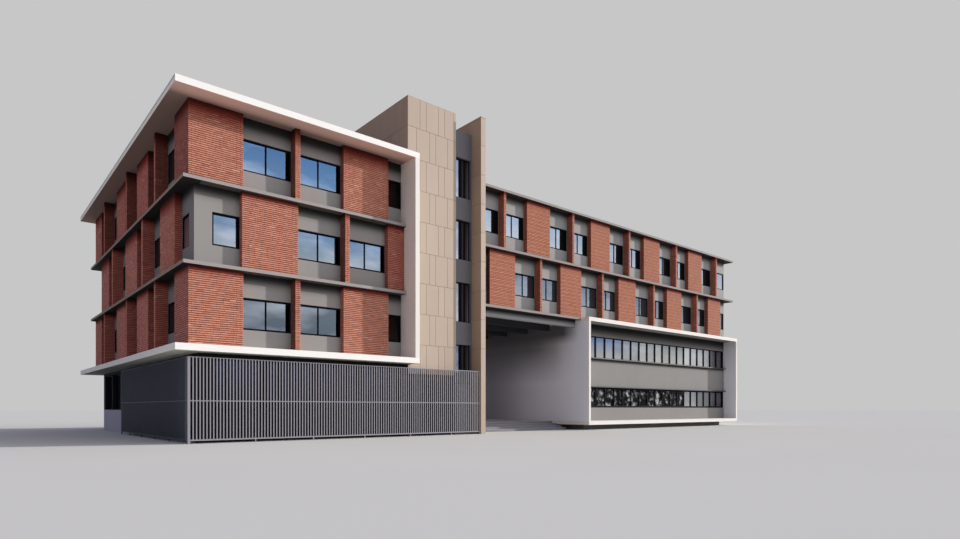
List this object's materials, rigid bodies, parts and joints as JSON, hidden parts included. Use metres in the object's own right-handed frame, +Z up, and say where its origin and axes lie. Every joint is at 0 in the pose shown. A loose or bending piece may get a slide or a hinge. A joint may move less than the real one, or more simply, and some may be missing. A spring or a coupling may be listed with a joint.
{
  "type": "school building, 1:2 scale model",
  "caption": "L-shaped modern school at 1:2 scale: brick block under a white roof slab, stair tower with fin wall, wing over an open porch and a white framed box with ribbon windows.",
  "frame": {"origin": "middle of the building's bounding box in plan, on the ground", "axes": "+X along the front from the block to the wing's far end, +Y from the front to the back, +Z up"},
  "size_m": [23.65, 12.23, 9.165],
  "materials": {
    "white_render": "matte white render",
    "string_concrete": "smooth grey concrete",
    "grey_render": "matte grey render",
    "brick": "textured terracotta brick",
    "window_glass": "reflective tinted glass",
    "screen_metal": "satin light grey paint",
    "beige_cladding": "honed beige stone cladding",
    "floor_concrete": "plain concrete"
  },
  "bodies": {
    "root": {"left_roof_slab": "white_render", "left_first_floor_slab": "white_render", "white_end_fin": "white_render", "box_top_plate": "white_render", "box_base_slab": "white_render", "box_left_wall": "white_render", "box_right_wall": "white_render", "left_second_floor_slab": "string_concrete", "left_third_floor_slab": "string_concrete", "wing_roof_slab": "string_concrete", "wing_third_floor_slab": "string_concrete", "wing_second_floor_slab": "string_concrete", "box_window_ledges": "string_concrete", "stair_core_roof": "string_concrete", "tower_roof": "string_concrete", "left_front_wall": "grey_render", "left_side_wall": "grey_render", "left_back_wall": "grey_render", "left_court_wall": "grey_render", "ground_front_wall": "grey_render", "ground_side_wall": "grey_render", "ground_back_wall": "grey_render", "ground_court_wall": "grey_render", "stair_window_wall": "grey_render", "stair_core_back_wall": "grey_render", "lobby_back_wall": "grey_render", "porch_left_wall": "grey_render", "wing_front_wall": "grey_render", "wing_back_wall": "grey_render", "wing_end_wall": "grey_render", "box_front_bands": "grey_render", "box_back_bands": "grey_render", "left_front_brick_panels": "brick", "left_side_brick_panels": "brick", "left_brick_fins": "brick", "wing_brick_panels": "brick", "wing_brick_fins": "brick", "left_glass": "window_glass", "ground_glass": "window_glass", "stair_glass": "window_glass", "wing_glass": "window_glass", "box_ribbon_glass": "window_glass", "front_slat_screen": "screen_metal", "side_slat_screen": "screen_metal", "tower_front_wall": "beige_cladding", "tower_left_wall": "beige_cladding", "tower_right_wall": "beige_cladding", "tower_back_wall": "beige_cladding", "tall_fin_wall": "beige_cladding", "left_ground_slab": "floor_concrete", "lobby_slabs": "floor_concrete", "box_middle_floor": "floor_concrete", "box_plinth": "floor_concrete", "porch_landing": "floor_concrete", "porch_steps": "floor_concrete", "porch_beams": "floor_concrete"}
  },
  "joints": []
}
